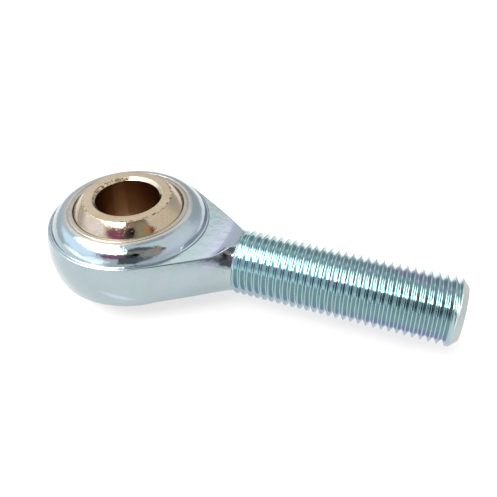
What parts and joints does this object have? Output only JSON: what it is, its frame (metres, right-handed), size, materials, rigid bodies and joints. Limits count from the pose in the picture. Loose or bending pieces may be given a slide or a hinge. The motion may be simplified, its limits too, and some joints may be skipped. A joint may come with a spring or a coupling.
{
  "type": "rod end bearing",
  "caption": "Male rod end bearing: round head with a swaged race, a spherical ball with a plain through bore that tilts in it, a tapered neck and a threaded shank.",
  "frame": {"origin": "centre of the ball, on the axis of its bore and on the axis of the shank", "axes": "+Z along the bore of the ball, +X along the threaded shank away from the head"},
  "size_m": [0.0623, 0.0254, 0.0148],
  "materials": {
    "zinc_plated_steel": "bright zinc plate, satin, faint blue-violet passivation tint",
    "race_steel": "machined steel, fine turned grain, oiled",
    "ball_steel": "ground and polished bearing steel, warm tone, light rust specks at the edges"
  },
  "bodies": {
    "housing": {"rod_end_body": "zinc_plated_steel", "race": "race_steel"},
    "ball": {"ball": "ball_steel"}
  },
  "joints": [
    {"name": "ball_tilt", "type": "hinge", "parent": "housing", "child": "ball", "pos_m": [0, 0, 0], "axis": [0, 1, 0], "range_deg": [-13, 13]}
  ]
}
